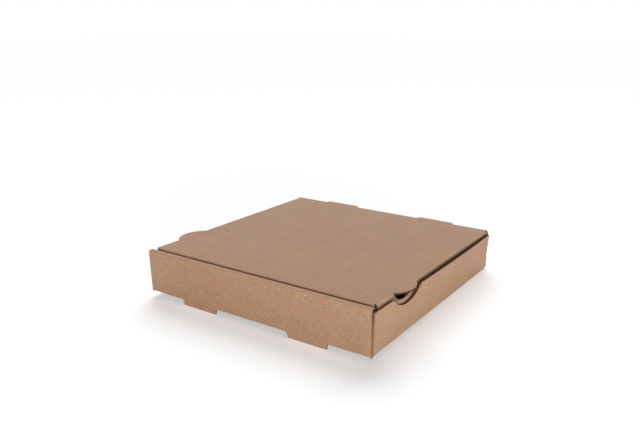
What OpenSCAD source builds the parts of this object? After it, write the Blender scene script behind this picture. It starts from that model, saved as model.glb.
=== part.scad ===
// Corrugated pizza box, folded from one die-cut sheet of fine-flute board.
// The tray is the base with its four walls, and the lid hinges on the back wall's top crease.
// The front wall (-Y) rolls over the front corner flaps of the side walls and locks into two slots in the base.

/* [Box] */
// Outer width across the side walls, at the base
box_w = 260; // [220:1:340]
// Outer depth from the front wall to the back wall, at the base
box_d = 262; // [220:1:340]
// Height of the lid's top face above the underside of the base
box_h = 45.1; // [36:0.1:60]

/* [Board] */
// Thickness of the board
board_t = 1.6; // [1.2:0.1:2.2]
// Inside radius of a fold
fold_r = 0.3; // [0.2:0.1:0.8]
// How far a crease crushes each face of the board
crease_crush = 0.1; // [0.05:0.05:0.3]
// Air between layers of board that lie against each other
layer_gap = 0.15; // [0.1:0.05:0.4]
// Width of a die cut between two edges of one cut
cut_gap = 0.25; // [0.15:0.05:0.5]

/* [Walls] */
// How far the front wall's top edge stands above the lid's top face, or below it if negative
front_rise = -0.6; // [-1:0.1:3]
// Outward lean of the front wall's outer panel, in degrees
front_lean = 2.8; // [0.5:0.1:4]
// Gap between a side wall's top edge and the lid's underside
rim_gap = 2.4; // [0.6:0.1:4]
// Outward lean of the side walls, in degrees
side_lean = 2.2; // [0.5:0.1:4]
// Length of the corner flaps that the front wall grips
corner_flap_len = 68; // [40:1:90]
// Length of the corner flaps inside the back wall, which end beside its cut-outs
back_flap_len = 38; // [20:1:40]
// Drop from a side wall's top edge to the top of its corner flaps
corner_flap_drop = 0.5; // [0.4:0.1:6]

/* [Slot flaps] */
// Distance between the middles of the two slot flaps of a crease
flap_pitch = 128.4; // [100:0.5:150]
// Width of a slot flap at its crease
flap_w = 44; // [30:0.1:60]
// How much a slot flap narrows on each side towards its tip
flap_taper = 1.3; // [0:0.1:3]
// How far the front slot flaps reach below the base
foot_len = 5; // [4.5:0.1:9]
// How far the lid's slot flaps reach behind the hinge line
hinge_flap_len = 5.6; // [2.5:0.1:7]
// Play of a lock tab at each end of its slot
lock_play = 1; // [0.5:0.1:3]

/* [Lid] */
// Gap between the lid's side flaps and the side walls
lid_gap = 0.9; // [0.3:0.1:2]
// Gap between the front wall and the lid's front edge
lid_front_gap = 2.3; // [2:0.1:5]
// Gap between the lid's flaps and the base, below the flaps
lid_flap_clear = 7; // [4:0.5:14]
// Radius of the lower corners of the lid's flaps
lid_flap_corner = 14; // [4:0.5:20]
// Inward lean of the lid's front flap, in degrees
tuck_lean = 3; // [2:0.5:8]
// Play round the lid's slot flaps in the back wall's cut-outs
hinge_play = 0.4; // [0.3:0.1:1]
// Clearance in the hinge crease, between the back wall's top and the lid
hinge_gap = 0.1; // [0.05:0.05:0.3]

/* [Thumb tabs] */
// Distance of the thumb tabs' middle from the front of the base
thumb_y = 59; // [45:0.5:110]
// Width of a thumb tab where it leaves the lid
thumb_w = 42; // [30:0.5:60]
// How far a thumb tab stands out past the lid's side flap
thumb_out = 8.8; // [6:0.1:14]
// Width of the finger notch in a side wall's top edge
notch_w = 52; // [40:0.5:70]
// Depth of the finger notch
notch_depth = 11.4; // [8:0.1:18]

/* [Hidden] */
$fn = 96;
kraft = "#b38d6c";

// A fold's outer radius, the length of board that a right-angled fold takes up,
// and how far the flat panels run into the crushed board of a fold
fold_out = fold_r + board_t;
fold_len = (fold_r + board_t / 2) * PI / 2;
fold_lap = 0.15;

// Front wall: outer panel, corner flap and inner panel, with the outer panel leaning out
front_h = box_h + front_rise;
front_stack = 3 * board_t + 2 * layer_gap;
front_outer_len = (front_h - 2 * fold_out) / cos(front_lean);
front_out = front_outer_len * sin(front_lean);
front_strip_len = front_stack - 2 * fold_out + front_out;
inner_rest = 0.3;
front_inner_len = front_h - fold_out - board_t - inner_rest;
front_inner_w = box_w - 2 * (fold_out + layer_gap);
front_heel = fold_out * (1 - sin(front_lean)) / cos(front_lean);

// Places along Y: the box with its leaning front wall and the lid's slot flaps is centred on the origin
hinge_flap_out = hinge_flap_len - board_t / 2;
rear_y = (box_d + front_out - hinge_flap_out) / 2;
front_y = rear_y - box_d;
lid_front_y = front_y + front_stack + lid_front_gap;
thumb_mid_y = front_y + thumb_y;

// Side walls, with a corner flap at each end
side_h = box_h - board_t - rim_gap;
side_foot_z = fold_out * (1 - sin(side_lean));
side_len = (side_h - side_foot_z) / cos(side_lean);
side_y0 = front_y + board_t + layer_gap + fold_out;
side_y1 = rear_y - board_t - layer_gap - fold_out;
corner_flap_z0 = board_t + 0.6;
corner_flap_u0 = (corner_flap_z0 - side_foot_z) / cos(side_lean);
corner_flap_u1 = side_len - corner_flap_drop;
corner_flap_end_cut = 6;
side_heel = side_foot_z / cos(side_lean) - cut_gap;

// Front slot flaps: each is the board that its slot leaves, so slot and flap are equally long
crease_hw = box_w / 2 - fold_out;
foot_reach = foot_len / cos(front_lean) + front_heel;
slot_len = foot_reach - fold_len;
lock_w = flap_w - 2 * flap_taper - 2 * lock_play;
lock_len = board_t + inner_rest;

// Hinge line, on the middle of the back wall and of the lid's board
hinge_y = rear_y - board_t / 2;
hinge_z = box_h - board_t / 2;
back_len = hinge_z - board_t / 2 - hinge_gap - fold_out;
hinge_cut_r = norm([hinge_flap_len, board_t / 2]) + hinge_play;

// Lid, as wide as the leaning side walls leave room for; its side flaps lean with them
lid_hw = box_w / 2 - board_t - lid_gap + (box_h - 2 * fold_out) * tan(side_lean);
lid_crease_hw = lid_hw - fold_out;
lid_crease_y = lid_front_y + fold_out;
lid_side_y1 = rear_y - 2 * board_t - layer_gap - lid_gap;
lid_flap_len = box_h - fold_out - board_t - lid_flap_clear;
tuck_hw = lid_crease_hw - lid_gap;

// Thumb tab and finger notch: circle segments given by their width and height
thumb_rise = thumb_out + fold_out;
thumb_r = segment_r(thumb_w, thumb_rise);
notch_r = segment_r(notch_w, notch_depth);

// Radius of the circle whose segment has this chord and height
function segment_r(chord, height) = (pow(chord / 2, 2) + pow(height, 2)) / (2 * height);

// Stretches of a crease from -half to half that are left between two cuts of width w, a pitch apart
function between_cuts(half, pitch, w) = [
    [-half, -(pitch + w) / 2], [-(pitch - w) / 2, (pitch - w) / 2], [(pitch + w) / 2, half]
];

// A flat panel of board, drawn by its outline: outer face at z = 0, inner face at z = board_t
module board() {
    linear_extrude(board_t) children();
}

// A fold of board that heads along +X and turns up through an angle, creased over each stretch
// in spans along Y, a cut's width short of both ends. What follows the fold is drawn as its children,
// again heading along +X.
module fold(angle, spans) {
    for (span = spans)
        translate([0, span[1] - cut_gap, fold_out])
            rotate([0, 90, 0])
                rotate([90, 0, 0])
                    rotate_extrude(angle = angle)
                        translate([fold_r + crease_crush, 0])
                            square([board_t - 2 * crease_crush, span[1] - span[0] - 2 * cut_gap]);
    translate([0, 0, fold_out])
        rotate([0, -angle, 0])
            translate([0, 0, -fold_out])
                children();
}

// Outline of a panel that starts at a crease along Y and runs to x = len, or a lap further to the next crease
module strip(len, half, end_lap = 0) {
    translate([-fold_lap, -half])
        square([len + fold_lap + end_lap, 2 * half]);
}

// Outline of a slot flap that starts at a crease along Y and runs to x = len, with room to spare at its sides
module slot_flap(len, spare = 0) {
    root = flap_w / 2 + spare;
    tip = root - flap_taper;
    polygon([[-fold_out, -root], [0, -root], [len, -tip], [len, tip], [0, root], [-fold_out, root]]);
}

// Places its children at the middle of both slot flaps of a crease along Y
module at_slots() {
    for (side = [-1, 1])
        translate([0, side * flap_pitch / 2])
            children();
}

// Outline of a flap from y0 to y1 with two round lower corners
module round_flap(len, y0, y1) {
    r = lid_flap_corner;
    translate([-fold_lap, y0])
        square([len + fold_lap - r, y1 - y0]);
    translate([0, y0 + r])
        square([len, y1 - y0 - 2 * r]);
    for (y = [y0 + r, y1 - r])
        translate([len - r, y])
            circle(r);
}

module base_panel() {
    board() difference() {
        translate([-crease_hw - fold_lap, front_y + fold_out - fold_lap])
            square([2 * (crease_hw + fold_lap), box_d - 2 * (fold_out - fold_lap)]);
        translate([0, front_y + fold_out])
            rotate(90)
                at_slots()
                    slot_flap(slot_len, cut_gap);
    }
}

// The outer panel with its two feet, the strip along the top, and the inner panel with its lock tabs
module front_wall() {
    translate([0, front_y + fold_out, 0])
        rotate(-90)
            fold(90 - front_lean, between_cuts(crease_hw, flap_pitch, flap_w)) {
                board() {
                    strip(front_outer_len, box_w / 2, fold_lap);
                    difference() {
                        translate([-front_heel, -box_w / 2])
                            square([front_heel, box_w]);
                        translate([-2 * fold_out, -crease_hw])
                            square([3 * fold_out, 2 * crease_hw]);
                    }
                    at_slots()
                        mirror([1, 0])
                            slot_flap(foot_reach);
                }
                translate([front_outer_len, 0, 0])
                    fold(90 + front_lean, [[-box_w / 2, box_w / 2]]) {
                        board() strip(front_strip_len, box_w / 2, fold_lap);
                        translate([front_strip_len, 0, 0])
                            fold(90, [[-front_inner_w / 2, front_inner_w / 2]])
                                front_inner_panel();
                    }
            }
}

module front_inner_panel() {
    board() {
        strip(front_inner_len, front_inner_w / 2);
        translate([front_inner_len, 0])
            at_slots()
                strip(lock_len, lock_w / 2);
    }
}

// A corner flap, heading away from its wall, with its top edge cut level and its end corners cut off
module corner_flap(end) {
    cut = corner_flap_end_cut;
    top = corner_flap_u1 - end * tan(side_lean);
    board() polygon([
        [-fold_lap, corner_flap_u0], [end - cut, corner_flap_u0], [end, corner_flap_u0 + cut],
        [end, top - cut], [end - cut, top + cut * tan(side_lean)], [-fold_lap, corner_flap_u1]
    ]);
}

// The side wall on +X, with the finger notch in its top edge and a corner flap at each end
module side_wall() {
    flap_span = [corner_flap_u0, corner_flap_u1];
    translate([crease_hw, 0, 0])
        fold(90 - side_lean, [[side_y0, side_y1]]) {
            board() difference() {
                union() {
                    translate([-fold_lap, side_y0 - fold_lap])
                        square([side_len + fold_lap, side_y1 - side_y0 + 2 * fold_lap]);
                    for (y = [side_y0, side_y1])
                        translate([-side_heel, y - fold_len / 2])
                            square([side_heel + corner_flap_u0, fold_len]);
                }
                translate([side_len + notch_r - notch_depth, thumb_mid_y])
                    circle(notch_r);
            }
            translate([0, side_y0, 0])
                rotate(-90)
                    fold(90, [flap_span])
                        corner_flap(corner_flap_len);
            translate([0, side_y1, 0])
                rotate(90)
                    fold(90, [-[flap_span[1], flap_span[0]]])
                        mirror([0, 1, 0])
                            corner_flap(back_flap_len);
        }
}

// The back wall, with the two cut-outs that the lid's slot flaps leave in its top edge
module back_wall() {
    translate([0, rear_y - fold_out, 0])
        rotate(90)
            fold(90, [[-crease_hw, crease_hw]])
                board() difference() {
                    strip(back_len, box_w / 2);
                    translate([hinge_z - fold_out, 0])
                        at_slots()
                            mirror([1, 0])
                                slot_flap(hinge_cut_r, hinge_play);
                }
}

module tray() {
    color(kraft)
        translate([0, 0, foot_len]) {
            base_panel();
            front_wall();
            back_wall();
            side_wall();
            mirror([1, 0, 0])
                side_wall();
        }
}

// Outline of the lid's top from hinge line to front crease, with a thumb tab on each side
// and two slot flaps that stay flat with it and stand out behind the back wall
module lid_outline() {
    translate([-lid_crease_hw - fold_lap, lid_crease_y - fold_lap])
        square([2 * (lid_crease_hw + fold_lap), hinge_y - lid_crease_y + fold_lap]);
    translate([-lid_hw, lid_side_y1 + cut_gap])
        square([2 * lid_hw, hinge_y - lid_side_y1 - cut_gap]);
    translate([0, hinge_y])
        rotate(90)
            at_slots()
                slot_flap(hinge_flap_len);
    for (side = [-1, 1])
        intersection() {
            translate([side * (lid_crease_hw + thumb_rise - thumb_r), thumb_mid_y])
                circle(thumb_r);
            translate([side * (lid_crease_hw + thumb_rise / 2), thumb_mid_y])
                square([thumb_rise, thumb_w], center = true);
        }
}

// The round back edge of the lid, which turns on the hinge line
module hinge_edge() {
    for (span = between_cuts(lid_hw, flap_pitch, flap_w + 2 * cut_gap))
        translate([span[0], hinge_y, board_t / 2])
            rotate([0, 90, 0])
                cylinder(r = board_t / 2, h = span[1] - span[0]);
}

// The lid's flap on the +X side of the lid sheet, with the hole that its thumb tab leaves
module lid_side_flap() {
    hole_half = thumb_w / 2 + cut_gap;
    translate([lid_crease_hw, 0, 0])
        fold(90 + side_lean, [[lid_crease_y, thumb_mid_y - hole_half], [thumb_mid_y + hole_half, lid_side_y1]])
            board() difference() {
                round_flap(lid_flap_len, lid_crease_y, lid_side_y1);
                translate([thumb_rise - fold_len - thumb_r, thumb_mid_y])
                    circle(thumb_r + cut_gap);
                translate([-board_t, thumb_mid_y - hole_half])
                    square([board_t + cut_gap, 2 * hole_half]);
            }
}

module lid_front_flap() {
    translate([0, lid_crease_y, 0])
        rotate(-90)
            fold(90 + tuck_lean, [[-tuck_hw, tuck_hw]])
                board() round_flap(lid_flap_len, -tuck_hw, tuck_hw);
}

// The lid is drawn as a sheet with its outer face down, then turned over onto the tray
module lid() {
    color(kraft)
        translate([0, 0, foot_len + box_h])
            rotate([0, 180, 0]) {
                board() lid_outline();
                hinge_edge();
                lid_front_flap();
                lid_side_flap();
                mirror([1, 0, 0])
                    lid_side_flap();
            }
}

tray();
lid();
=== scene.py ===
# %% [markdown]
# # A corrugated pizza box
# The real box is one die-cut sheet of fine-flute kraft board, folded up without glue. The tray and
# the lid are the same sheet: the lid turns on a crease along the back wall. We load the packed
# model first, because it fixes every size and place.

# %% Load the frame
import math
import bpy
import bmesh
from mathutils import Matrix, Vector


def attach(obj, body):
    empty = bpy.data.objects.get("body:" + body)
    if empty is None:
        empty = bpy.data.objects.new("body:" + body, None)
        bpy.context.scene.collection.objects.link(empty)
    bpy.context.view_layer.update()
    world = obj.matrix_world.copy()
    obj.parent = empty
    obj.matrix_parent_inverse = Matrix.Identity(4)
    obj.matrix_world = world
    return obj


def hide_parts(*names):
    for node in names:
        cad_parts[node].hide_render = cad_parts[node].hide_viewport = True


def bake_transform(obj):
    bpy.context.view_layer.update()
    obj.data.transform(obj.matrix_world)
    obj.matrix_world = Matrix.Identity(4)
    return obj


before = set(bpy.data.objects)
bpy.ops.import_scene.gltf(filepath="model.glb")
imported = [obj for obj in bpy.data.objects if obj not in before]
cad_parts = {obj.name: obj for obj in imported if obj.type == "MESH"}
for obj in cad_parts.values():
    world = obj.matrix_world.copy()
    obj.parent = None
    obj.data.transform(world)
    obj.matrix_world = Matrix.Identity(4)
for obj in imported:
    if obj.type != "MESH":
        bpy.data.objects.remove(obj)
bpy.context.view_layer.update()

scene = bpy.context.scene
scene.view_settings.view_transform = "Standard"

# %% [markdown]
# ## Sizes of the box
# A folded box has few sizes: the board, the three sides of the box, the cuts of the die and how far
# the walls lean. They are the ones that the solids were drawn with. We write them in millimetres,
# as a box maker does, and scale each finished mesh to metres once.

# %% Driving sizes, in millimetres
box_w, box_d, box_h = 260.0, 262.0, 45.1
board_t, fold_r = 1.6, 0.3
layer_gap, cut_gap = 0.15, 0.25
front_rise, front_lean = -0.6, math.radians(2.8)
side_lean, tuck_lean = math.radians(2.2), math.radians(3)
rim_gap, corner_flap_len, back_flap_len = 2.4, 68.0, 38.0
corner_flap_lift, corner_flap_drop, corner_flap_cut = 0.35, 0.5, 6.0
flap_pitch, flap_w, flap_taper = 128.4, 44.0, 1.3
foot_len, hinge_flap_len, lock_play, lock_drop = 5.0, 5.6, 1.0, 0.3
lid_gap, lid_front_gap, lid_flap_clear, lid_flap_corner = 0.9, 2.3, 7.0, 14.0
hinge_play, hinge_gap = 0.4, 0.1
thumb_y, thumb_w, thumb_out = 59.0, 42.0, 8.8
notch_w, notch_depth = 52.0, 11.4
print("box", box_w, "x", box_d, "x", box_h, "mm of", board_t, "mm board")

# %% Sizes that follow from them
fold_out = fold_r + board_t
fold_len = (fold_r + board_t / 2) * math.pi / 2
front_h = box_h + front_rise
front_outer_len = (front_h - 2 * fold_out) / math.cos(front_lean)
front_out = front_outer_len * math.sin(front_lean)
front_stack = 3 * board_t + 2 * layer_gap
front_strip_len = front_stack - 2 * fold_out + front_out
front_inner_len = front_h - fold_out - board_t - lock_drop
front_inner_hw = box_w / 2 - fold_out - layer_gap
front_heel = fold_out * (1 - math.sin(front_lean)) / math.cos(front_lean)
rear_y = (box_d + front_out - hinge_flap_len + board_t / 2) / 2
front_y = rear_y - box_d
thumb_mid_y = front_y + thumb_y
crease_hw = box_w / 2 - fold_out
foot_reach = foot_len / math.cos(front_lean) + front_heel
slot_len = foot_reach - fold_len
side_h = box_h - board_t - rim_gap
side_foot_z = fold_out * (1 - math.sin(side_lean))
side_len = (side_h - side_foot_z) / math.cos(side_lean)
side_y0 = front_y + board_t + layer_gap + fold_out
side_y1 = rear_y - board_t - layer_gap - fold_out
hinge_y, hinge_z = rear_y - board_t / 2, box_h - board_t / 2
back_len = hinge_z - board_t / 2 - hinge_gap - fold_out
hinge_cut = math.hypot(hinge_flap_len, board_t / 2) + hinge_play
lid_hw = box_w / 2 - board_t - lid_gap + (box_h - 2 * fold_out) * math.tan(side_lean)
lid_crease_hw = lid_hw - fold_out
lid_crease_y = front_y + front_stack + lid_front_gap + fold_out
lid_flap_len = box_h - fold_out - board_t - lid_flap_clear
lid_flap_y1 = rear_y - 2 * board_t - layer_gap - lid_gap
tuck_hw = lid_crease_hw - lid_gap
thumb_rise = thumb_out + fold_out
print("front wall", round(front_outer_len, 2), "mm, lid", round(2 * lid_hw, 2), "mm wide")

# %% [markdown]
# ## Folding a sheet with two operators
# A folded sheet is a row of panels with a bend between each two. It could be drawn as a block and
# hollowed, but then a fold has no real radius. Here each panel is an edge that is pulled out with
# extrude, and each fold is the same edge turned with spin about the crease, so the mesh is made in
# the order in which the sheet runs. Every face keeps a number that says which panel it belongs to,
# with 0 for a fold, because the flutes inside the board need to know that later.

# %% Fold and pull
X, Y, Z = Vector((1, 0, 0)), Vector((0, 1, 0)), Vector((0, 0, 1))
near = 1e-3


def parts_of(geom, kind):
    return [g for g in geom if isinstance(g, kind)]


def new_sheet():
    bm = bmesh.new()
    bm.faces.layers.int.new("panel")
    return bm


def pull(bm, edges, move, panel):
    made = bmesh.ops.extrude_edge_only(bm, edges=edges)["geom"]
    verts = parts_of(made, bmesh.types.BMVert)
    bmesh.ops.translate(bm, verts=verts, vec=move)
    for f in parts_of(made, bmesh.types.BMFace):
        f[bm.faces.layers.int["panel"]] = panel
    fresh = set(verts)
    return [e for e in parts_of(made, bmesh.types.BMEdge) if set(e.verts) <= fresh]


def crease(bm, edges, centre, axis, angle, steps=8):
    old = set(bm.faces)
    geom = ends_of(edges) + edges
    bent = bmesh.ops.spin(bm, geom=geom, cent=centre, axis=axis, angle=angle, steps=steps)
    for f in bm.faces:
        if f not in old:
            f[bm.faces.layers.int["panel"]] = 0
    return parts_of(bent["geom_last"], bmesh.types.BMEdge)


def between(edges, low, high, along=X):
    return [e for e in edges if all(low - near < v.co.dot(along) < high + near for v in e.verts)]


def edges_at(faces, along, place):
    edges = {e for f in faces for e in f.edges}
    return [e for e in edges if all(abs(v.co.dot(along) - place) < near for v in e.verts)]


def ends_of(edges):
    return list({v for e in edges for v in e.verts})


def cut_across(bm, faces, point, normal):
    geom = list({g for f in faces for g in (*f.verts, *f.edges, f)})
    bmesh.ops.bisect_plane(bm, geom=geom, dist=1e-4, plane_co=point, plane_no=normal)


def faces_of(bm, *panels):
    layer = bm.faces.layers.int["panel"]
    return [f for f in bm.faces if f[layer] in panels]


print("a fold is", round(fold_out, 2), "mm outside and", fold_r, "mm inside")

# %% [markdown]
# ## A round cut in a straight edge
# Thumb tabs and finger notches are arcs of a circle that start and end on a straight cut. Working
# out the points of an arc is what spin is for: it carries one vertex round the circle's middle. The
# loop of edges that the arc closes is then filled as one face.

# %% Arc and fill
def arc(bm, start, centre, axis, angle, steps=40):
    old = set(bm.edges)
    bmesh.ops.spin(bm, geom=[start], cent=centre, axis=axis, angle=angle, steps=steps)
    return [e for e in bm.edges if e not in old]


def fill(bm, edges, panel):
    for f in bmesh.ops.contextual_create(bm, geom=edges)["faces"]:
        f[bm.faces.layers.int["panel"]] = panel


def segment_r(chord, height):
    return ((chord / 2) ** 2 + height ** 2) / (2 * height)


thumb_r, notch_r = segment_r(thumb_w, thumb_rise), segment_r(notch_w, notch_depth)
print("thumb radius", round(thumb_r, 2), "notch radius", round(notch_r, 2))

# %% [markdown]
# ## The tray's long strip
# Seen flat, one strip of board runs from the front's inner panel over the top, down the outer
# panel, along the base and up the back wall. We start on the line where the front wall leaves the
# base and work both ways. A sheet can be drawn at any depth in the board: depth 0 is the outer
# liner's face and depth 1.6 mm is the inner liner's, and only the radius of the folds changes.

# %% Panels and slots of the strip
OUTER, STRIP, INNER, BASE, BACK = 1, 2, 3, 4, 5
foot_x = flap_pitch / 2
lock_hw = flap_w / 2 - flap_taper - lock_play
flap_hw = flap_w / 2
front_up = Vector((0, -math.sin(front_lean), math.cos(front_lean)))
front_face = Vector((0, -math.cos(front_lean), -math.sin(front_lean)))


def slot_spans(hw):
    return [(s * foot_x - hw, s * foot_x + hw) for s in (-1, 1)]


def narrow(bm, verts, x, share):
    bmesh.ops.scale(bm, verts=verts, vec=(share, 1, 1), space=Matrix.Translation((-x, 0, 0)))


flap_share = 1 - flap_taper / flap_hw
print("slots from", [tuple(round(x, 1) for x in span) for span in slot_spans(flap_hw)])


# %% Front wall
def front_line(bm, depth):
    places = [box_w / 2, crease_hw, front_inner_hw]
    places += [foot_x + flap_hw, foot_x + lock_hw, foot_x - lock_hw, foot_x - flap_hw]
    start = Vector((0, front_y + fold_out, fold_out)) + (fold_out - depth) * front_face
    row = [bm.verts.new(start + x * X) for x in sorted(places + [-x for x in places])]
    return [bm.edges.new(pair) for pair in zip(row, row[1:])]


def roll_over_front(bm, line):
    middle = Vector((0, front_y + fold_out, fold_out)) + front_outer_len * front_up
    top = pull(bm, line, front_outer_len * front_up, OUTER)
    strip = pull(bm, crease(bm, top, middle, -X, math.pi / 2 + front_lean), front_strip_len * Y, STRIP)
    edges = between(strip, -front_inner_hw, front_inner_hw)
    inner = crease(bm, edges, middle + front_strip_len * Y, -X, math.pi / 2)
    low = pull(bm, inner, -front_inner_len * Z, INNER)
    for a, b in slot_spans(lock_hw):
        pull(bm, between(low, a, b), -(board_t + lock_drop) * Z, INNER)
    for a, b in slot_spans(flap_hw):
        tip = pull(bm, between(line, a, b), -foot_reach * front_up, OUTER)
        narrow(bm, ends_of(tip), (a + b) / 2, flap_share)
    for a, b in ((-box_w / 2, -crease_hw), (crease_hw, box_w / 2)):
        pull(bm, between(line, a, b), -front_heel * front_up, OUTER)


print("front wall: outer", round(front_outer_len, 2), "strip", round(front_strip_len, 2),
      "inner", round(front_inner_len, 2), "mm")


# %% Base and back wall
def base(bm, line):
    (a0, b0), (a1, b1) = slot_spans(flap_hw)
    root = []
    for a, b in ((-crease_hw, a0), (b0, a1), (b1, crease_hw)):
        root += between(line, a, b)
    middle = Vector((0, front_y + fold_out, fold_out))
    ends = pull(bm, crease(bm, root, middle, X, math.pi / 2 - front_lean), slot_len * Y, BASE)
    for a, b in slot_spans(flap_hw):
        pair = [v for v in ends_of(ends) if min(abs(v.co.x - a), abs(v.co.x - b)) < near]
        narrow(bm, pair, (a + b) / 2, flap_share)
        ends.append(bm.edges.new(pair))
    return pull(bm, ends, (box_d - 2 * fold_out - slot_len) * Y, BASE)


def back_wall(bm, rear):
    up = crease(bm, rear, Vector((0, rear_y - fold_out, fold_out)), X, math.pi / 2)
    pull(bm, up, back_len * Z, BACK)
    floor_z = hinge_z - hinge_cut
    cut_across(bm, faces_of(bm, BACK), floor_z * Z, Z)
    for a, b in slot_spans(flap_hw + hinge_play):
        for x in (a, b):
            cut_across(bm, faces_of(bm, BACK), x * X, X)
        middles = [(f, f.calc_center_median()) for f in faces_of(bm, BACK)]
        hole = [f for f, m in middles if a < m.x < b and m.z > floor_z]
        bmesh.ops.delete(bm, geom=hole, context="FACES")
        level = ends_of(edges_at(faces_of(bm, BACK), Z, floor_z))
        corners = [v for v in level if min(abs(v.co.x - a), abs(v.co.x - b)) < near]
        narrow(bm, corners, (a + b) / 2, flap_share)
    for s in (-1, 1):
        pull(bm, edges_at(faces_of(bm, BACK), X, s * crease_hw), s * fold_out * X, BACK)


print("base", box_w, "mm wide, back wall", round(back_len + fold_out, 2), "mm high")


# %% [markdown]
# ## The side walls and their corner flaps
# A side wall folds up from the base's side crease. Its top edge has the finger notch, and at each
# end a corner flap turns in: the front ones are what the roll-over front wall grips. Behind that
# grip nothing holds the top edge, so it bows out by a few millimetres: we cut the wall into strips
# and push each point out in step with its height. The same code makes both sides, with `s` as +1 or
# -1 for right and left.

# %% Side walls and finger notches
WALL = {1: 6, -1: 7}
CORNER = {(1, 0): 8, (1, 1): 9, (-1, 0): 10, (-1, 1): 11}


def side_wall(bm, s, depth):
    up = Vector((s * math.sin(side_lean), 0, math.cos(side_lean)))
    inward = Vector((-s * math.cos(side_lean), 0, math.sin(side_lean)))
    pivot = Vector((s * crease_hw, 0, fold_out))
    foot = pivot - (fold_out - depth) * inward
    rim = edges_at(faces_of(bm, BASE), X, s * crease_hw)
    low = crease(bm, between(rim, side_y0, side_y1, Y), pivot, -s * Y, math.pi / 2 - side_lean)
    pull(bm, low, side_len * up, WALL[s])
    finger_notch(bm, s, foot, up)
    for end, (y, way) in enumerate(((side_y0, -Y), (side_y1, Y))):
        corner_flap(bm, s, end, y, way, up, inward, pivot, foot)


def finger_notch(bm, s, foot, up):
    for y in (thumb_mid_y - notch_w / 2, thumb_mid_y + notch_w / 2):
        cut_across(bm, faces_of(bm, WALL[s]), y * Y, Y)
    plate = [f for f in faces_of(bm, WALL[s]) if abs(f.calc_center_median().y - thumb_mid_y) < 1]
    edges = list({e for f in plate for e in f.edges})
    crest = [e for e in edges if all((v.co - foot).dot(up) > side_len - near for v in e.verts)]
    start = min(ends_of(crest), key=lambda v: v.co.y)
    bmesh.ops.delete(bm, geom=plate, context="FACES_ONLY")
    bmesh.ops.delete(bm, geom=crest, context="EDGES")
    centre = foot + (side_len + notch_r - notch_depth) * up + thumb_mid_y * Y
    round_cut = arc(bm, start, centre, Y.cross(up), 2 * math.asin(notch_w / 2 / notch_r))
    loop = round_cut + [e for e in edges if e.is_valid]
    bmesh.ops.remove_doubles(bm, verts=ends_of(loop), dist=near)
    fill(bm, [e for e in loop if e.is_valid], WALL[s])


print("side walls", round(side_len, 2), "mm, from y", round(side_y0, 2), "to", round(side_y1, 2))


# %% Corner flaps
def corner_flap(bm, s, end, y, way, up, inward, pivot, foot):
    low, high = corner_flap_lift, side_len - corner_flap_drop
    for u in (low, high):
        cut_across(bm, faces_of(bm, WALL[s]), foot + u * up, up)
    offset = foot.dot(up)
    edges = between(edges_at(faces_of(bm, WALL[s]), Y, y), offset + low, offset + high, up)
    bent = crease(bm, edges, pivot + y * Y, way.cross(inward), math.pi / 2)
    reach = back_flap_len if end else corner_flap_len
    tip = ends_of(pull(bm, bent, reach * inward, CORNER[s, end]))
    top, bottom = max(tip, key=lambda v: v.co.z), min(tip, key=lambda v: v.co.z)
    bmesh.ops.translate(bm, verts=[top], vec=-reach * math.tan(side_lean) * up)
    cut_corners(bm, [top, bottom], corner_flap_cut, 1)


def cut_corners(bm, verts, size, steps):
    bmesh.ops.bevel(bm, geom=verts, offset=size, segments=steps, profile=0.5,
                    affect="VERTICES", material=-1)


print("corner flaps", corner_flap_len, "mm in front,", back_flap_len, "mm at the back")

# %% Bow of the side walls, and the whole tray sheet
bow_out, bow_strips, bow_turn, bow_ease = 2.6, 12, 0.8 * math.pi, 1.5


def bow(bm, s):
    span = side_y1 - side_y0
    for k in range(1, bow_strips):
        cut_across(bm, faces_of(bm, WALL[s]), (side_y0 + span * k / bow_strips) * Y, Y)
    for v in {v for f in faces_of(bm, 0, WALL[s], CORNER[s, 1]) for v in f.verts}:
        if s * v.co.x > box_w / 4 and v.co.y > side_y0:
            along = math.sin(bow_turn * min(1, (v.co.y - side_y0) / span)) ** bow_ease
            height = max(0, v.co.z - fold_out) / (side_h - fold_out)
            v.co.x += s * bow_out * along * height


def tray_sheet(depth):
    bm = new_sheet()
    line = front_line(bm, depth)
    roll_over_front(bm, line)
    back_wall(bm, base(bm, line))
    for y in (side_y0, side_y1):
        cut_across(bm, faces_of(bm, BASE), y * Y, Y)
    for s in (1, -1):
        side_wall(bm, s, depth)
        bow(bm, s)
    bmesh.ops.translate(bm, verts=bm.verts, vec=foot_len * Z)
    return bm


def measure(name, bm):
    area = sum(f.calc_area() for f in bm.faces) / 1e6
    print(name, len(bm.faces), "faces, area", round(area, 4), "m2")
    bm.free()


measure("tray sheet:", tray_sheet(0))

# %% [markdown]
# ## The lid's sheet
# The lid is a flat top with three flaps that hang inside the walls. At the back, two slot flaps
# stay flat with the top and stand out behind the back wall, which keeps their cut-outs. Each
# half-moon thumb tab stays flat too when its side flap folds down, so it leaves its own shape as a
# hole in the flap.

# %% Lid top and thumb tabs
TOP, TUCK = 1, 2
LID_FLAP = {1: 3, -1: 4}
lid_z = foot_len + box_h


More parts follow.
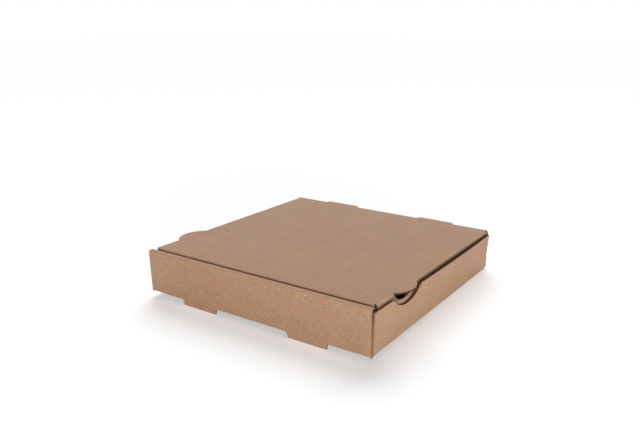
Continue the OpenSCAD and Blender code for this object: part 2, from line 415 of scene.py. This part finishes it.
def lid_top(bm, depth):
    places = [lid_crease_hw, foot_x + flap_hw, foot_x - flap_hw]
    row = [bm.verts.new((x, hinge_y, lid_z - depth)) for x in sorted(places + [-x for x in places])]
    rear = [bm.edges.new(pair) for pair in zip(row, row[1:])]
    pull(bm, rear, (lid_crease_y - hinge_y) * Y, TOP)
    for a, b in slot_spans(flap_hw):
        tip = pull(bm, between(rear, a, b), hinge_flap_len * Y, TOP)
        narrow(bm, ends_of(tip), (a + b) / 2, flap_share)
    for y in (thumb_mid_y - thumb_w / 2, thumb_mid_y + thumb_w / 2, lid_flap_y1):
        cut_across(bm, faces_of(bm, TOP), y * Y, Y)
    for x in (-tuck_hw, tuck_hw):
        cut_across(bm, faces_of(bm, TOP), x * X, X)


def lid_rim(bm, s, low, high):
    return between(edges_at(faces_of(bm, TOP), X, s * lid_crease_hw), low, high, Y)


def thumb_tab(bm, s, depth):
    chord = lid_rim(bm, s, thumb_mid_y - thumb_w / 2, thumb_mid_y + thumb_w / 2)
    start = min(ends_of(chord), key=lambda v: v.co.y)
    centre = Vector((s * (lid_crease_hw + thumb_rise - thumb_r), thumb_mid_y, lid_z - depth))
    loop = chord + arc(bm, start, centre, s * Z, 2 * math.asin(thumb_w / 2 / thumb_r))
    bmesh.ops.remove_doubles(bm, verts=ends_of(loop), dist=near)
    fill(bm, [e for e in loop if e.is_valid], TOP)


print("lid top at", round(lid_z, 2), "mm, thumb tabs reach out", thumb_out, "mm")


# %% Lid flaps
def round_corners(bm, verts):
    cut_corners(bm, verts, lid_flap_corner, 12)


def lid_side_flap(bm, s, depth):
    t0, t1 = thumb_mid_y - thumb_w / 2, thumb_mid_y + thumb_w / 2
    pivot = Vector((s * lid_crease_hw, 0, lid_z - fold_out))
    down = Vector((-s * math.sin(side_lean), 0, -math.cos(side_lean)))
    face = Vector((s * math.cos(side_lean), 0, -math.sin(side_lean)))
    root = pivot + (fold_out - depth) * face
    rim = lid_rim(bm, s, lid_crease_y, t0) + lid_rim(bm, s, t1, lid_flap_y1)
    bent = crease(bm, rim, pivot, s * Y, math.pi / 2 + side_lean)
    low = pull(bm, bent, lid_flap_len * down, LID_FLAP[s])
    hole_r, hole_u = thumb_r + cut_gap, thumb_rise - fold_len - thumb_r
    half = math.sqrt(hole_r ** 2 - hole_u ** 2)
    start = bm.verts.new(root + (thumb_mid_y - half) * Y)
    centre = root + hole_u * down + thumb_mid_y * Y
    hole = arc(bm, start, centre, Y.cross(down), -2 * math.asin(half / hole_r))
    stop = max(ends_of(hole), key=lambda v: v.co.y)
    upper = sorted(ends_of(bent), key=lambda v: v.co.y)[1:3]
    lower = sorted(ends_of(low), key=lambda v: v.co.y)[1:3]
    loop = hole + [bm.edges.new(p) for p in ((upper[0], start), (stop, upper[1]), tuple(lower))]
    loop += [bm.edges.get(p) for p in zip(upper, lower)]
    fill(bm, loop, LID_FLAP[s])
    ends = sorted(ends_of(low), key=lambda v: v.co.y)
    round_corners(bm, [ends[0], ends[-1]])


def lid_front_flap(bm):
    edges = between(edges_at(faces_of(bm, TOP), Y, lid_crease_y), -tuck_hw, tuck_hw)
    pivot = Vector((0, lid_crease_y, lid_z - fold_out))
    down = Vector((0, math.sin(tuck_lean), -math.cos(tuck_lean)))
    bent = crease(bm, edges, pivot, X, math.pi / 2 + tuck_lean)
    low = pull(bm, bent, lid_flap_len * down, TUCK)
    ends = sorted(ends_of(low), key=lambda v: v.co.x)
    round_corners(bm, [ends[0], ends[-1]])


def lid_sheet(depth):
    bm = new_sheet()
    lid_top(bm, depth)
    for s in (1, -1):
        thumb_tab(bm, s, depth)
        lid_side_flap(bm, s, depth)
        pull(bm, lid_rim(bm, s, lid_flap_y1, hinge_y), s * fold_out * X, TOP)
    lid_front_flap(bm)
    return bm


measure("lid sheet:", lid_sheet(0))

# %% [markdown]
# ## Kraft paper
# Kraft liner is brown paper with long fibres, soft clouds where the pulp was thicker, and a
# sprinkling of pale and dark flecks from recycled stock. The flutes inside print through as a faint
# washboard, and the paper is rubbed paler along the folds. The front panel takes the most handling
# and shows the strongest grain. A dark band of painted shade lies on the lid's flaps under the top,
# for the shade in the gap under the lid's edge, and a dark line of painted shade lies on the folds
# at the tray's front corners, for the shade in the gap behind the front wall. Everything is drawn
# from noise on Object coordinates, in metres, so a scale of 1000 gives grains of about a millimetre.
# The washboard follows a UV map that we lay on the sheet, with V counting flutes, because its
# direction changes from panel to panel, and the grain and the painted shade follow attributes of
# the sheet. The paper inside the board is a plainer kraft, painted darker as well to stand for the
# shade in the flutes and on cut edges.

# %% Node helpers
def node(tree, kind, **values):
    n = tree.nodes.new(kind)
    for key, value in values.items():
        setattr(n, key, value)
    return n


def paper_noise(tree, scale, detail, stretch=(1, 1, 1)):
    place = node(tree, "ShaderNodeMapping")
    place.inputs["Scale"].default_value = stretch
    tree.links.new(tree.nodes["Place"].outputs["Object"], place.inputs["Vector"])
    n = node(tree, "ShaderNodeTexNoise")
    n.inputs["Scale"].default_value = scale
    n.inputs["Detail"].default_value = detail
    n.inputs["Roughness"].default_value = 0.6
    tree.links.new(place.outputs["Vector"], n.inputs["Vector"])
    return n.outputs["Fac"]


def band(tree, value, low, high, a, b):
    n = node(tree, "ShaderNodeMapRange")
    for name, number in (("From Min", low), ("From Max", high), ("To Min", a), ("To Max", b)):
        n.inputs[name].default_value = number
    tree.links.new(value, n.inputs["Value"])
    return n.outputs["Result"]


def tint(tree, colour, share, with_colour):
    n = node(tree, "ShaderNodeMix", data_type="RGBA")
    tree.links.new(colour, n.inputs["A"])
    n.inputs["B"].default_value = (*with_colour, 1)
    tree.links.new(share, n.inputs["Factor"])
    return n.outputs["Result"]


def linear(*rgb):
    return tuple(((c / 255 + 0.055) / 1.055) ** 2.4 for c in rgb)


print("mid kraft as light:", [round(c, 3) for c in linear(186, 146, 113)])


# %% Grain and relief of the paper
def liner_grain(tree, colour):
    handled = node(tree, "ShaderNodeAttribute", attribute_name="handled").outputs["Fac"]
    blush, grain = paper_noise(tree, 130, 4), paper_noise(tree, 800, 2)
    for noise, low, high, most, tone in (
        (blush, 0.52, 0.70, 0.8, linear(190, 134, 102)),
        (blush, 0.48, 0.30, 0.8, linear(176, 142, 98)),
        (grain, 0.55, 0.70, 0.6, linear(146, 106, 78)),
        (grain, 0.45, 0.30, 0.6, linear(212, 172, 138)),
    ):
        share = node(tree, "ShaderNodeMath", operation="MULTIPLY")
        tree.links.new(band(tree, noise, low, high, 0, most), share.inputs[0])
        tree.links.new(band(tree, handled, 0, 1, 0.3, 1), share.inputs[1])
        colour = tint(tree, colour, share.outputs[0], tone)
    return colour


def paper_relief(tree, mottle, fibre, washboard):
    total = node(tree, "ShaderNodeMath", operation="ADD")
    tree.links.new(mottle, total.inputs[0])
    tree.links.new(fibre, total.inputs[1])
    if not washboard:
        return total.outputs[0]
    flutes = node(tree, "ShaderNodeUVMap", uv_map="flutes")
    split = node(tree, "ShaderNodeSeparateXYZ")
    tree.links.new(flutes.outputs["UV"], split.inputs["Vector"])
    turn = node(tree, "ShaderNodeMath", operation="MULTIPLY")
    turn.inputs[1].default_value = 2 * math.pi
    tree.links.new(split.outputs["Y"], turn.inputs[0])
    wave = node(tree, "ShaderNodeMath", operation="SINE")
    tree.links.new(turn.outputs[0], wave.inputs[0])
    both = node(tree, "ShaderNodeMath", operation="MULTIPLY_ADD")
    tree.links.new(wave.outputs[0], both.inputs[0])
    both.inputs[1].default_value = washboard
    tree.links.new(total.outputs[0], both.inputs[2])
    return both.outputs[0]


sheen, matt_low, matt_high = 0.75, 0.48, 0.64
relief_share, relief_depth, flute_show = 0.6, 0.00012, 0.12
# The first tone is painted shade, the dark of the gaps under the lid's edge and behind the front wall;
# rubbed_tone is real wear on the folds.
painted_shade_tone, rubbed_tone = linear(70, 38, 24), linear(206, 170, 136)
pale_fleck, dark_fleck = linear(214, 178, 142), linear(104, 72, 50)
print("a pressed line takes", [round(c, 3) for c in painted_shade_tone])


# %% Kraft liner and fluting paper
def kraft_paper(name, mid, dark, pale, washboard):
    made = bpy.data.materials.new(name)
    made.use_nodes = True
    tree = made.node_tree
    shader = tree.nodes["Principled BSDF"]
    node(tree, "ShaderNodeTexCoord", name="Place")
    clouds = paper_noise(tree, 30, 3)
    ramp = node(tree, "ShaderNodeValToRGB")
    for stop, place, tone in zip(ramp.color_ramp.elements, (0.3, 0.7), (dark, mid)):
        stop.position, stop.color = place, (*tone, 1)
    tree.links.new(clouds, ramp.inputs["Fac"])
    mottle = paper_noise(tree, 420, 5)
    fibre = paper_noise(tree, 1500, 3, (0.25, 1, 1))
    colour = tint(tree, ramp.outputs["Color"], band(tree, mottle, 0.42, 0.68, 0, 0.8), pale)
    colour = tint(tree, colour, band(tree, fibre, 0.45, 0.68, 0, 0.7), dark)
    flecks = paper_noise(tree, 640, 1, (0.5, 1, 0.8))
    colour = tint(tree, colour, band(tree, flecks, 0.70, 0.76, 0, 0.75), pale_fleck)
    specks = paper_noise(tree, 560, 1)
    colour = tint(tree, colour, band(tree, specks, 0.72, 0.77, 0, 0.7), dark_fleck)
    if washboard:
        colour = liner_grain(tree, colour)
    # Painted shade: the dark band and lines that stand for shade in the gaps.
    shade_paint = node(tree, "ShaderNodeAttribute", attribute_name="painted_shade_line")
    colour = tint(tree, colour, band(tree, shade_paint.outputs["Fac"], 0, 1, 0, 0.98), painted_shade_tone)
    worn = node(tree, "ShaderNodeAttribute", attribute_name="fold_wear")
    colour = tint(tree, colour, band(tree, worn.outputs["Fac"], 0, 1, 0, 0.22), rubbed_tone)
    tree.links.new(colour, shader.inputs["Base Color"])
    shader.inputs["Specular IOR Level"].default_value = sheen
    tree.links.new(band(tree, mottle, 0.3, 0.7, matt_low, matt_high), shader.inputs["Roughness"])
    bump = node(tree, "ShaderNodeBump")
    bump.inputs["Strength"].default_value = relief_share
    bump.inputs["Distance"].default_value = relief_depth
    tree.links.new(paper_relief(tree, mottle, fibre, washboard), bump.inputs["Height"])
    tree.links.new(bump.outputs["Normal"], shader.inputs["Normal"])
    return made


liner_tones = linear(186, 146, 113), linear(170, 130, 98), linear(198, 160, 127)
# Darker than the liner: partly the plainer kraft of the flutes, partly painted shade in the flute
# openings and on cut edges.
fluting_and_shade_tones = linear(96, 66, 46), linear(78, 53, 36), linear(114, 83, 58)
kraft_liner = kraft_paper("kraft_liner", *liner_tones, flute_show)
fluting_paper_and_shade = kraft_paper("fluting_paper_and_shade", *fluting_and_shade_tones, 0)
print("materials", kraft_liner.name, fluting_paper_and_shade.name)

# %% [markdown]
# ## Liners
# Corrugated board is two flat papers with a wavy one between them, so its cut edges are not solid.
# Each liner is a sheet a quarter of a millimetre thick: the outer one is drawn at depth 0 and the
# inner one at the full depth, both facing out of the board, and Solidify takes their thickness into
# the board. Its rim gets the darker inner paper, whose dark is partly painted shade of a cut edge.
# The painted shade is laid on the outer liner: under the top on the lid's flaps, and on the folds at
# the tray's front corners.
# Weighted normals keep the large panels flat to the eye beside their small round folds.

# %% Lay the flute map and the fold wear on a sheet
mm = 0.001
flute_pitch = 3.2


def lay_maps(bm, across, front=None):
    panel = bm.faces.layers.int["panel"]
    uv = bm.loops.layers.uv.new("flutes")
    wear = bm.verts.layers.float.new("fold_wear")
    handled = bm.verts.layers.float.new("handled")
    for f in bm.faces:
        way = across.get(f[panel])
        for loop in f.loops:
            v = loop.vert.co.dot(way) / flute_pitch if way else 0.0
            loop[uv].uv = (loop.vert.co.x / flute_pitch, v)
    for v in bm.verts:
        bent = [f for f in v.link_faces if f[panel] == 0]
        v[wear] = 1.0 if len(bent) == len(v.link_faces) else 0.0
        v[handled] = 1.0 if front and any(f[panel] == front for f in v.link_faces) else 0.0


print("one flute in", flute_pitch, "mm")

# %% Painted shade lines: how far under the lid's top, and how dark
flap_shade_marks = ((0.0, 0.0), (1.6, 0.34), (3.2, 0.54), (5.0, 0.76), (7.0, 0.88), (12.0, 0.0))
corner_shade_rise = 1.5


# Painted shade: a dark band on the lid's flaps under the top, for the shade in the gap under the lid's
# edge.
def paint_flap_shade(bm):
    flaps = (LID_FLAP[1], LID_FLAP[-1], TUCK)
    for drop, _ in flap_shade_marks[1:]:
        cut_across(bm, faces_of(bm, *flaps), (lid_z - drop) * Z, Z)
    shade_paint = bm.verts.layers.float.new("painted_shade_line")
    for v in {v for f in faces_of(bm, 0, *flaps) for v in f.verts}:
        for (d0, s0), (d1, s1) in zip(flap_shade_marks, flap_shade_marks[1:]):
            if d0 <= lid_z - v.co.z <= d1:
                v[shade_paint] = s0 + (s1 - s0) * (lid_z - v.co.z - d0) / (d1 - d0)


# Painted shade: a dark line on the folds at the tray's front corners, for the shade in the gap behind
# the front wall.
def paint_corner_shade(bm):
    shade_paint = bm.verts.layers.float.new("painted_shade_line")
    for v in {v for f in faces_of(bm, 0) for v in f.verts}:
        low = v.co.z < foot_len + side_h and abs(v.co.x) > crease_hw
        if low and side_y0 - fold_out - 10 * near < v.co.y < side_y0:
            v[shade_paint] = min(1, corner_shade_rise * (side_y0 - v.co.y) / fold_out)


# The lid's painted shade is darkest this far under the top.
print("the lid's pressed line is darkest", max(flap_shade_marks, key=lambda m: m[1])[0], "mm down")


# %% From sheets to an object with thickness
def facing(bm, panel, way):
    bmesh.ops.recalc_face_normals(bm, faces=bm.faces)
    sample = max(faces_of(bm, panel), key=lambda f: f.calc_area())
    if sample.normal.dot(way) < 0:
        bmesh.ops.reverse_faces(bm, faces=bm.faces)


def to_object(name, sheets, *materials):
    mesh = bpy.data.meshes.new(name)
    whole = bmesh.new()
    for bm in sheets:
        part = bpy.data.meshes.new("part")
        bm.to_mesh(part)
        whole.from_mesh(part)
        bpy.data.meshes.remove(part)
        bm.free()
    bmesh.ops.scale(whole, verts=whole.verts, vec=(mm, mm, mm))
    for f in whole.faces:
        f.smooth = True
    whole.to_mesh(mesh)
    whole.free()
    for m in materials:
        mesh.materials.append(m)
    obj = bpy.data.objects.new(name, mesh)
    scene.collection.objects.link(obj)
    return obj


def thicken(obj, thickness, offset):
    shell = obj.modifiers.new("paper", "SOLIDIFY")
    shell.thickness, shell.offset, shell.use_even_offset = thickness * mm, offset, True
    shell.material_offset_rim = len(obj.data.materials) - 1
    bpy.context.view_layer.update()
    solid = obj.evaluated_get(bpy.context.evaluated_depsgraph_get())
    done = bpy.data.meshes.new_from_object(solid)
    obj.modifiers.clear()
    old, obj.data = obj.data, done
    bpy.data.meshes.remove(old)
    done.name = obj.name
    done.set_sharp_from_angle(angle=sharp_from)
    normals = obj.modifiers.new("flat_panels", "WEIGHTED_NORMAL")
    normals.weight, normals.keep_sharp = 100, True


liner_t, sharp_from = 0.25, math.radians(32)
print("liner", liner_t, "mm thick, sharp from", round(math.degrees(sharp_from)), "degrees")

# %% Liners of the tray and the lid
tray_across = {OUTER: front_up, STRIP: Y, INNER: Z, BASE: Y, BACK: Z, WALL[1]: Y, WALL[-1]: Y}
tray_across.update({n: X for n in CORNER.values()})
lid_across = {TOP: Y, TUCK: Z, LID_FLAP[1]: Y, LID_FLAP[-1]: Y}


def liners(name, draw, across, panel, outward, shade_paint, front=None):
    sheets = []
    for depth, way in ((0, outward), (board_t, -outward)):
        bm = draw(depth)
        bmesh.ops.remove_doubles(bm, verts=bm.verts, dist=1e-4)
        # Only the outer liner gets the painted shade.
        if not depth:
            shade_paint(bm)
        facing(bm, panel, way)
        lay_maps(bm, across, front)
        sheets.append(bm)
    obj = to_object(name, sheets, kraft_liner, fluting_paper_and_shade)
    thicken(obj, liner_t, -1)
    return obj


tray_liners = liners("tray_liners", tray_sheet, tray_across, BASE, -Z, paint_corner_shade, OUTER)
lid_liners = liners("lid_liners", lid_sheet, lid_across, TOP, Z, paint_flap_shade)
for obj, body in ((tray_liners, "tray"), (lid_liners, "lid")):
    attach(obj, body)
    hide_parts(body)
    print(obj.name, len(obj.data.polygons), "faces")

# %% [markdown]
# ## Fluting
# The wavy paper shows wherever a cut crosses the flutes: along the top of the side walls, in the
# notches, round the thumb tabs and at the ends of the front and back walls. The flutes run across
# the box, so they stand upright in the side walls. We draw the same sheet at mid depth, drop the
# folds, where the flutes are crushed flat, slice each panel into narrow strips with bisect_plane
# and push the strips' edges up and down in a wave.

# %% Fluting of each panel
wave_rise, steps_a_flute, fluting_t = 0.46, 6, 0.16


def wavy(draw, across, skip):
    bm = draw(board_t / 2)
    bmesh.ops.delete(bm, geom=faces_of(bm, 0, *skip), context="FACES")
    for number, way in across.items():
        faces = faces_of(bm, number)
        if not faces:
            continue
        normal = max(faces, key=lambda f: f.calc_area()).normal.copy()
        way = (way - normal * way.dot(normal)).normalized()
        reach = [v.co.dot(way) for f in faces for v in f.verts]
        low, high = min(reach), max(reach)
        step = flute_pitch / steps_a_flute
        for k in range(math.ceil(low / step), math.floor(high / step) + 1):
            cut_across(bm, faces_of(bm, number), k * step * way, way)
        for v in {v for f in faces_of(bm, number) for v in f.verts}:
            v.co += normal * wave_rise * math.cos(2 * math.pi * v.co.dot(way) / flute_pitch)
    bmesh.ops.recalc_face_normals(bm, faces=bm.faces)
    return bm


for name, draw, across, skip, body in (
    ("tray_fluting", tray_sheet, tray_across, (BASE,), "tray"),
    ("lid_fluting", lid_sheet, lid_across, (), "lid"),
):
    obj = to_object(name, [wavy(draw, across, skip)], fluting_paper_and_shade)
    thicken(obj, fluting_t, 0)
    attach(obj, body)
    print(name, len(obj.data.polygons), "faces")

# %% [markdown]
# ## The hinge crease
# On the real box the lid and the back wall are one board, and the line between them is a scored
# crease that opens and shuts. The solids part there, so three thin pieces keep the paper whole: a
# round crease edge that turns with the lid, and a skin of liner on each side of the board, drawn
# bent round the crease from the tray to the lid. Both skins are rows of edges pulled and spun along
# the crease, left out where the slot flaps are cut. They start on the tray, and the rows are short
# near the crease, where they turn.

# %% Rows along the crease
crease_at = Vector((0, hinge_y, foot_len + hinge_z))
skin_t = 0.04
skin = board_t / 2 + skin_t
skin_low, skin_end = 2.5, 1.2
long_step, short_step, small_step = 1.6, 0.3, 0.076


def crease_rows(y, z):
    bm = new_sheet()
    cut = flap_hw + hinge_play
    places = [-lid_hw, -foot_x - cut, -foot_x + cut, foot_x - cut, foot_x + cut, lid_hw]
    row = [bm.verts.new(crease_at + Vector((x, y, z))) for x in places]
    return bm, [bm.edges.new((row[i], row[i + 1])) for i in (0, 2, 4)]


def steps_of(bm, rows, moves):
    for move in moves:
        rows = pull(bm, rows, move, 0)
    return rows


def crease_piece(name, bm):
    bmesh.ops.recalc_face_normals(bm, faces=bm.faces)
    lay_maps(bm, {})
    obj = to_object(name, [bm], kraft_liner)
    thicken(obj, skin_t, 0)
    print(name, len(obj.data.polygons), "faces")
    return obj


print("crease at", [round(c, 2) for c in crease_at], "mm")

# %% Crease edge and the two skins
bm, rows = crease_rows(0, -board_t / 2 + skin_t / 2)
crease(bm, rows, crease_at, X, math.pi, 16)
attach(crease_piece("crease_edge", bm), "lid")

bm, rows = crease_rows(skin, -skin_low)
rows = steps_of(bm, rows, [long_step * Z] + [short_step * Z] * 3)
steps_of(bm, crease(bm, rows, crease_at, X, math.pi / 2), [-skin_end * Y])
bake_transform(crease_piece("crease_outside", bm))

bm, rows = crease_rows(-skin, -skin_low)
turn = [small_step * Z] * 6 + [-small_step * Y] * 6
steps_of(bm, rows, [skin_end * Z] + turn + [-skin_end * Y])
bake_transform(crease_piece("crease_inside", bm))

# %% [markdown]
# ## Floor, light and camera
# The box stands on its two feet and on the lower back edge, so it leans back by about a degree. The
# model keeps the box level, so the floor is the thing that is tilted here. A soft light high behind
# the box lays its shadow in front, a low soft box beside the camera lights the two walls that we
# see, strongest at the near corner, and a dim pale room fills the rest. The floor's white comes
# from its own colour and from a glow that only the camera sees, and the room is as bright as that
# only where it is seen or mirrored. The light behind is kept out of reflections, because its glare
# would bleach the lid. The camera comes from a fit to the box's corners and outlines.

# %% Floor
floor_tone, floor_glow, floor_size, floor_clear = (0.96, 0.975, 0.99, 1), 0.41, 6, 0.03


def floor_paper():
    made = bpy.data.materials.new("studio_paper")
    made.use_nodes = True
    tree = made.node_tree
    tree.nodes.remove(tree.nodes["Principled BSDF"])
    plain = node(tree, "ShaderNodeBsdfDiffuse")
    plain.inputs["Color"].default_value = floor_tone
    glow = node(tree, "ShaderNodeEmission")
    glow.inputs["Strength"].default_value = floor_glow
    seen = node(tree, "ShaderNodeAddShader")
    tree.links.new(plain.outputs[0], seen.inputs[0])
    tree.links.new(glow.outputs[0], seen.inputs[1])
    path = node(tree, "ShaderNodeLightPath")
    pick = node(tree, "ShaderNodeMixShader")
    tree.links.new(path.outputs["Is Camera Ray"], pick.inputs[0])
    tree.links.new(plain.outputs[0], pick.inputs[1])
    tree.links.new(seen.outputs[0], pick.inputs[2])
    tree.links.new(pick.outputs[0], tree.nodes["Material Output"].inputs["Surface"])
    return made


foot_tip_y = front_y + fold_out * (1 - math.cos(front_lean))
foot_tip_y += foot_reach * math.sin(front_lean)
tilt = math.atan2(foot_len, rear_y - fold_out - foot_tip_y)
bm = bmesh.new()
bmesh.ops.create_grid(bm, x_segments=1, y_segments=1, size=floor_size)
bmesh.ops.rotate(bm, verts=bm.verts, matrix=Matrix.Rotation(tilt, 3, "X"))
floor_z = -foot_tip_y * math.tan(tilt) - floor_clear
bmesh.ops.translate(bm, verts=bm.verts, vec=mm * floor_z * Z)
floor_mesh = bpy.data.meshes.new("floor")
bm.to_mesh(floor_mesh)
bm.free()
floor_mesh.materials.append(floor_paper())
floor = bpy.data.objects.new("floor", floor_mesh)
scene.collection.objects.link(floor)
print("floor tilted", round(math.degrees(tilt), 2), "degrees")

# %% Room light
room_light, room_seen = 0.11, 1.0
world = bpy.data.worlds.new("studio")
scene.world = world
world.use_nodes = True
room = world.node_tree
path = node(room, "ShaderNodeLightPath")
bright = node(room, "ShaderNodeMath", operation="MAXIMUM")
room.links.new(path.outputs["Is Camera Ray"], bright.inputs[0])
room.links.new(path.outputs["Is Glossy Ray"], bright.inputs[1])
level = band(room, bright.outputs[0], 0, 1, room_light, room_seen)
room.nodes["Background"].inputs["Color"].default_value = (1, 1, 1, 1)
room.links.new(level, room.nodes["Background"].inputs["Strength"])
print("room light", room_light, "and", room_seen, "where it is seen or mirrored")


# %% Two soft lights
def soft_light(name, kind, azimuth, elevation, energy, **shape):
    lamp = bpy.data.lights.new(name, kind)
    lamp.energy = energy
    a, e = math.radians(azimuth), math.radians(elevation)
    away = Vector((math.sin(a) * math.cos(e), -math.cos(a) * math.cos(e), math.sin(e)))
    obj = bpy.data.objects.new(name, lamp)
    obj.rotation_euler = away.to_track_quat("Z", "Y").to_euler()
    obj.visible_camera = False
    scene.collection.objects.link(obj)
    for key, value in shape.items():
        setattr(lamp, key, value)
    return obj, away


front_box = {"shape": "RECTANGLE", "size": 0.95, "size_y": 0.35}
front_distance = 2.2
near_corner = mm * Vector((box_w / 2, front_y, 0))
front, away = soft_light("front_soft_box", "AREA", azimuth=47, elevation=5, energy=44.5, **front_box)
front.location = near_corner + front_distance * away
back_sun = {"angle": math.radians(50)}
back, _ = soft_light("back_soft_box", "SUN", azimuth=214, elevation=42, energy=2.3, **back_sun)
back.visible_glossy = False
print("front light at", [round(c, 2) for c in front.location], "m")

# %% Camera
sensor_mm, photo_px, focal_px = 36, 640, 671.62
lens = bpy.data.cameras.new("photo_view")
lens.sensor_width, lens.sensor_fit = sensor_mm, "HORIZONTAL"
lens.lens = focal_px / photo_px * sensor_mm
lens.clip_start = 0.01
camera = bpy.data.objects.new("photo_view", lens)
camera.location = (0.37307, -0.57493, 0.27257)
camera.rotation_euler = [math.radians(a) for a in (74.1854, -0.4178, 33.8556)]
scene.collection.objects.link(camera)
scene.camera = camera
print("camera", tuple(round(c, 3) for c in camera.location), "lens", round(lens.lens, 2), "mm")

# %% [markdown]
# ## Finish
# The dressed box must be as large as the solids it stands for.

# %% Finish
bpy.context.view_layer.update()
